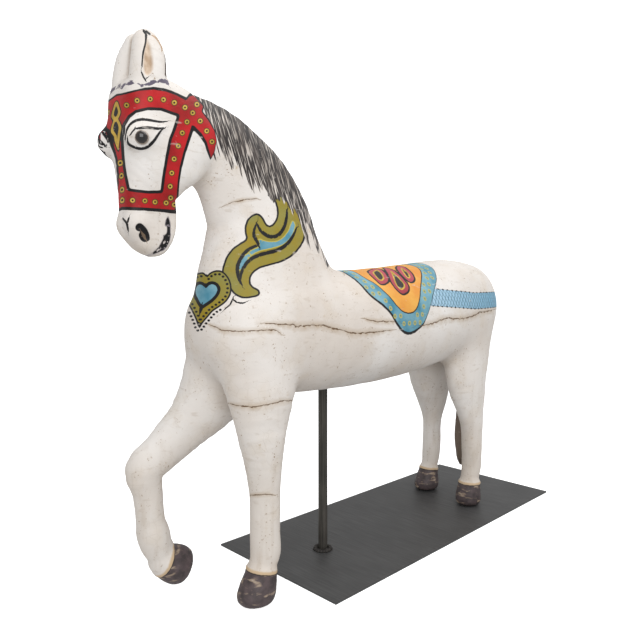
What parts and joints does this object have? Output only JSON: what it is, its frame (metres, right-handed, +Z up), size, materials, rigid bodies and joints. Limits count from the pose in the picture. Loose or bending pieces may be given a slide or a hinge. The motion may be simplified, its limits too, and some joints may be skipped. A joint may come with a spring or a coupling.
{
  "type": "carousel horse on a stand",
  "caption": "Carved and painted wooden carousel horse, one foreleg raised, held by a steel rod on a thin rectangular steel plate.",
  "frame": {"origin": "centre of the steel plate's underside", "axes": "+Z up, the horse faces -X along the plate's length, its left side is -Y"},
  "size_m": [1.1692, 0.364, 0.9952],
  "materials": {
    "painted_wood": "aged off-white paint with hand-painted ornament",
    "eye_glass": "glossy black domed eye",
    "blackened_steel": "matte dark grey"
  },
  "bodies": {
    "root": {"horse": "painted_wood", "eye_left": "eye_glass", "eye_right": "eye_glass", "base_plate": "blackened_steel", "rod": "blackened_steel", "rod_collar": "blackened_steel"}
  },
  "joints": []
}
